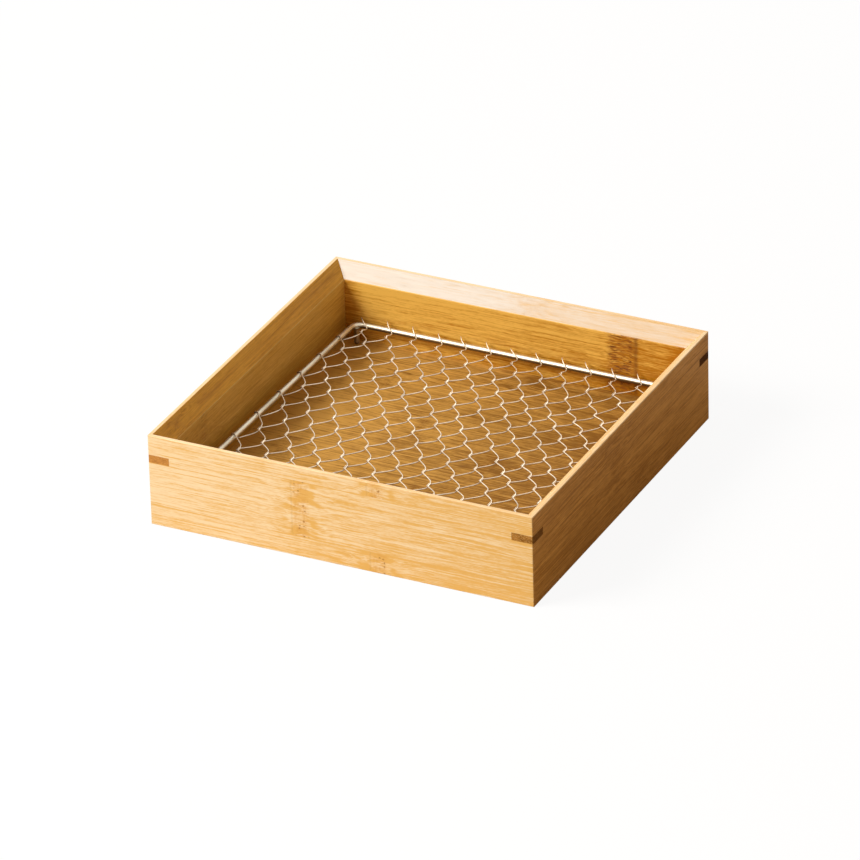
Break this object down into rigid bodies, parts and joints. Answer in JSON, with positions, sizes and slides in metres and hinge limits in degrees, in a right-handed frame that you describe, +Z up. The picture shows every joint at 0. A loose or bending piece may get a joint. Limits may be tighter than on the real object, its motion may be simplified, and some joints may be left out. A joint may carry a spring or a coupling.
{
  "type": "bamboo tempura tray",
  "caption": "Square bamboo tray with mitred, keyed corners and an inner bevel, holding a lift-out stainless rack of hexagonal wire netting for draining and serving.",
  "frame": {"origin": "middle of the tray's footprint, on the surface that it stands on", "axes": "+X along the front wall to the right, +Y to the back wall, +Z up"},
  "size_m": [0.21, 0.21, 0.05],
  "materials": {
    "bamboo_wall": "satin clear-coated laminated bamboo",
    "bamboo_panel": "satin clear-coated bamboo",
    "dark_bamboo": "sanded flush, dark heat-treated bamboo",
    "rod_steel": "polished stainless rod",
    "wire_steel": "bright stainless wire"
  },
  "bodies": {
    "tray": {"front_wall": "bamboo_wall", "right_wall": "bamboo_wall", "back_wall": "bamboo_wall", "left_wall": "bamboo_wall", "bottom_panel": "bamboo_panel", "key_front_right": "dark_bamboo", "key_back_right": "dark_bamboo", "key_back_left": "dark_bamboo", "key_front_left": "dark_bamboo"},
    "rack": {"rack_frame": "rod_steel", "rack_net": "wire_steel", "rack_foot_front_right": "rod_steel", "rack_foot_back_right": "rod_steel", "rack_foot_back_left": "rod_steel", "rack_foot_front_left": "rod_steel"}
  },
  "joints": [
    {"name": "rack_lift", "type": "slide", "parent": "tray", "child": "rack", "axis": [0, 0, 1], "range_m": [0, 0.06]}
  ]
}
